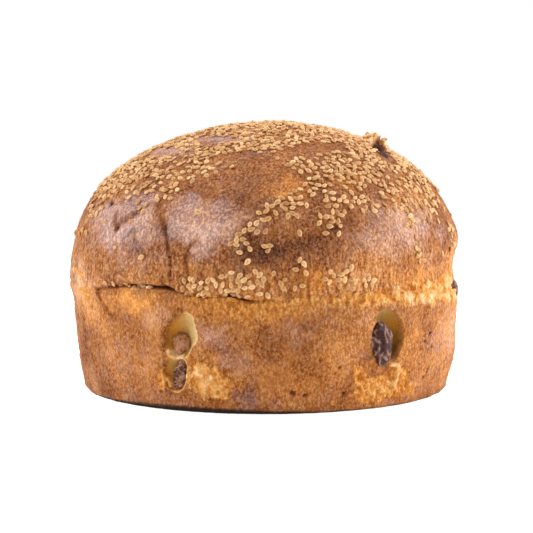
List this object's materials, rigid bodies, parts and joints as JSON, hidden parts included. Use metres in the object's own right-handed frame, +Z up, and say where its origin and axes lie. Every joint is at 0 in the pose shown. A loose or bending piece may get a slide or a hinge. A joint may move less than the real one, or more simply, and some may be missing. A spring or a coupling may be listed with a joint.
{
  "type": "savory panettone",
  "caption": "Low round loaf with a straight baked side and a domed top, sesame seeds over the dome and raisins in pockets of the crust.",
  "frame": {"origin": "middle of the flat base, on the surface that the loaf stands on", "axes": "+Z up along the axis of the round loaf, -Y towards the side that the picture shows, +X to that side's right"},
  "size_m": [0.1696, 0.1709, 0.1169],
  "materials": {
    "crust": "golden brown baked crust, satin sheen on the dome, matt and mottled on the side",
    "sesame": "toasted sesame seed, cream to gold, satin",
    "raisin": "dark brown wrinkled raisin skin, low gloss"
  },
  "bodies": {
    "root": {"loaf": "crust", "raisin_right": "raisin", "raisin_left_upper": "raisin", "raisin_left_lower": "raisin", "raisin_edge": "raisin", "raisin_top": "raisin", "raisin_back_right": "raisin", "raisin_back": "raisin", "raisin_back_left": "raisin"}
  },
  "joints": []
}
